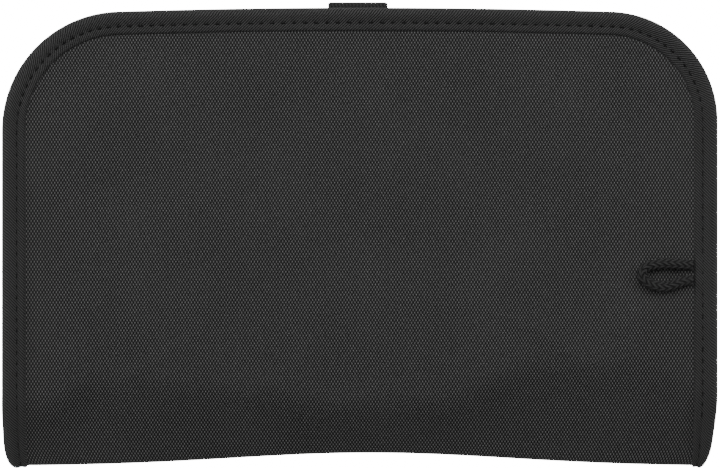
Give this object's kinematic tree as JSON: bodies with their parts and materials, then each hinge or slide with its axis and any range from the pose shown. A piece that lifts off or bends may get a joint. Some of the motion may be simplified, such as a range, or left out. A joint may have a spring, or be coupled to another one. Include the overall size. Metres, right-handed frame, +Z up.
{
  "type": "passport holder wallet",
  "caption": "Bifold travel wallet for passports: padded fabric covers bound in tape, hinged by a soft spine, with inner pockets, a zipped pouch, a hook-and-loop strap and a cord loop.",
  "frame": {"origin": "middle of the underside of the closed wallet's box, without the cord loop", "axes": "+Z up out of the plain back cover, +Y from the fold to the opening edge, +X to the right seen from above; the cord loop is near the +X edge"},
  "size_m": [0.228, 0.148, 0.0255],
  "materials": {
    "cover_fabric": "matte plain-weave polyester, charcoal black",
    "foam": "closed-cell foam sheet",
    "lining_fabric": "fine plain-weave lining, dark grey",
    "binding_tape": "matte twill binding tape, charcoal black",
    "webbing": "ribbed polyester webbing",
    "hook_and_loop": "hook-and-loop tape, black",
    "zip_tape": "woven zip tape, black",
    "zip_coil": "nylon coil, satin black",
    "zip_metal": "black enamelled zinc, satin",
    "clear_film": "clear vinyl film, glossy",
    "braided_cord": "round braided polyester cord, black",
    "elastic": "ribbed woven elastic, black"
  },
  "bodies": {
    "front_panel": {"front_cover": "cover_fabric", "front_foam": "foam", "front_lining": "lining_fabric", "front_binding": "binding_tape", "loop_patch": "hook_and_loop", "zip_pouch_panel": "lining_fabric", "zip_pouch_header": "lining_fabric", "zip_tape_lower": "zip_tape", "zip_tape_upper": "zip_tape", "zip_coil_lower": "zip_coil", "zip_coil_upper": "zip_coil", "zip_stop_left": "zip_metal", "zip_stop_right": "zip_metal", "card_window_film": "clear_film", "card_window_hem": "binding_tape"},
    "spine_lower": {"spine_cover_lower": "cover_fabric", "spine_lining_lower": "lining_fabric", "spine_binding_left_lower": "binding_tape", "spine_binding_right_lower": "binding_tape", "pen_loop": "elastic"},
    "spine_upper": {"spine_cover_upper": "cover_fabric", "spine_lining_upper": "lining_fabric", "spine_binding_left_upper": "binding_tape", "spine_binding_right_upper": "binding_tape"},
    "back_panel": {"back_cover": "cover_fabric", "back_foam": "foam", "back_lining": "lining_fabric", "back_binding": "binding_tape", "ticket_pocket": "lining_fabric", "card_slot_1": "lining_fabric", "card_slot_2": "lining_fabric", "card_slot_3": "lining_fabric", "passport_pocket": "lining_fabric", "strap_sewn_end": "webbing"},
    "strap_riser": {"strap_riser": "webbing"},
    "strap_tail": {"strap_tail": "webbing", "hook_patch": "hook_and_loop"},
    "zip_slider": {"zip_slider": "zip_metal"},
    "zip_pull": {"zip_pull": "zip_metal"},
    "cord_loop": {"cord_loop": "braided_cord"}
  },
  "joints": [
    {"name": "crease_front", "type": "hinge", "parent": "front_panel", "child": "spine_lower", "pos_m": [0, -0.05299, 0.0034], "axis": [1, 0, 0], "range_deg": [0, 24.2]},
    {"name": "fold", "type": "hinge", "parent": "spine_lower", "child": "spine_upper", "pos_m": [0, -0.07399, 0.0127], "axis": [1, 0, 0], "range_deg": [0, 132.2]},
    {"name": "crease_back", "type": "hinge", "parent": "spine_upper", "child": "back_panel", "pos_m": [0, -0.05299, 0.022], "axis": [1, 0, 0], "range_deg": [0, 24.2]},
    {"name": "closure", "type": "hinge", "parent": "back_panel", "child": "strap_riser", "pos_m": [-0.0006, 0.07336, 0.01655], "axis": [1, 0, 0], "range_deg": [0, 90]},
    {"name": "strap_bend", "type": "hinge", "parent": "strap_riser", "child": "strap_tail", "pos_m": [-0.0006, 0.07336, 0.00065], "axis": [1, 0, 0], "range_deg": [0, 90]},
    {"name": "zip", "type": "slide", "parent": "front_panel", "child": "zip_slider", "axis": [1, 0, 0], "range_m": [0, 0.155]},
    {"name": "pull", "type": "hinge", "parent": "zip_slider", "child": "zip_pull", "pos_m": [-0.0775, 0.05001, 0.01045], "axis": [0, 1, 0], "range_deg": [0, 30]},
    {"name": "loop_lift", "type": "hinge", "parent": "back_panel", "child": "cord_loop", "pos_m": [0.1059, -0.01225, 0.0238], "axis": [0, 1, 0], "range_deg": [0, 115]}
  ],
  "couplings": [
    {"joint": "crease_front", "follows": "fold", "ratio": 0.18065},
    {"joint": "crease_back", "follows": "fold", "ratio": 0.18065},
    {"joint": "strap_bend", "follows": "closure", "ratio": 1}
  ]
}
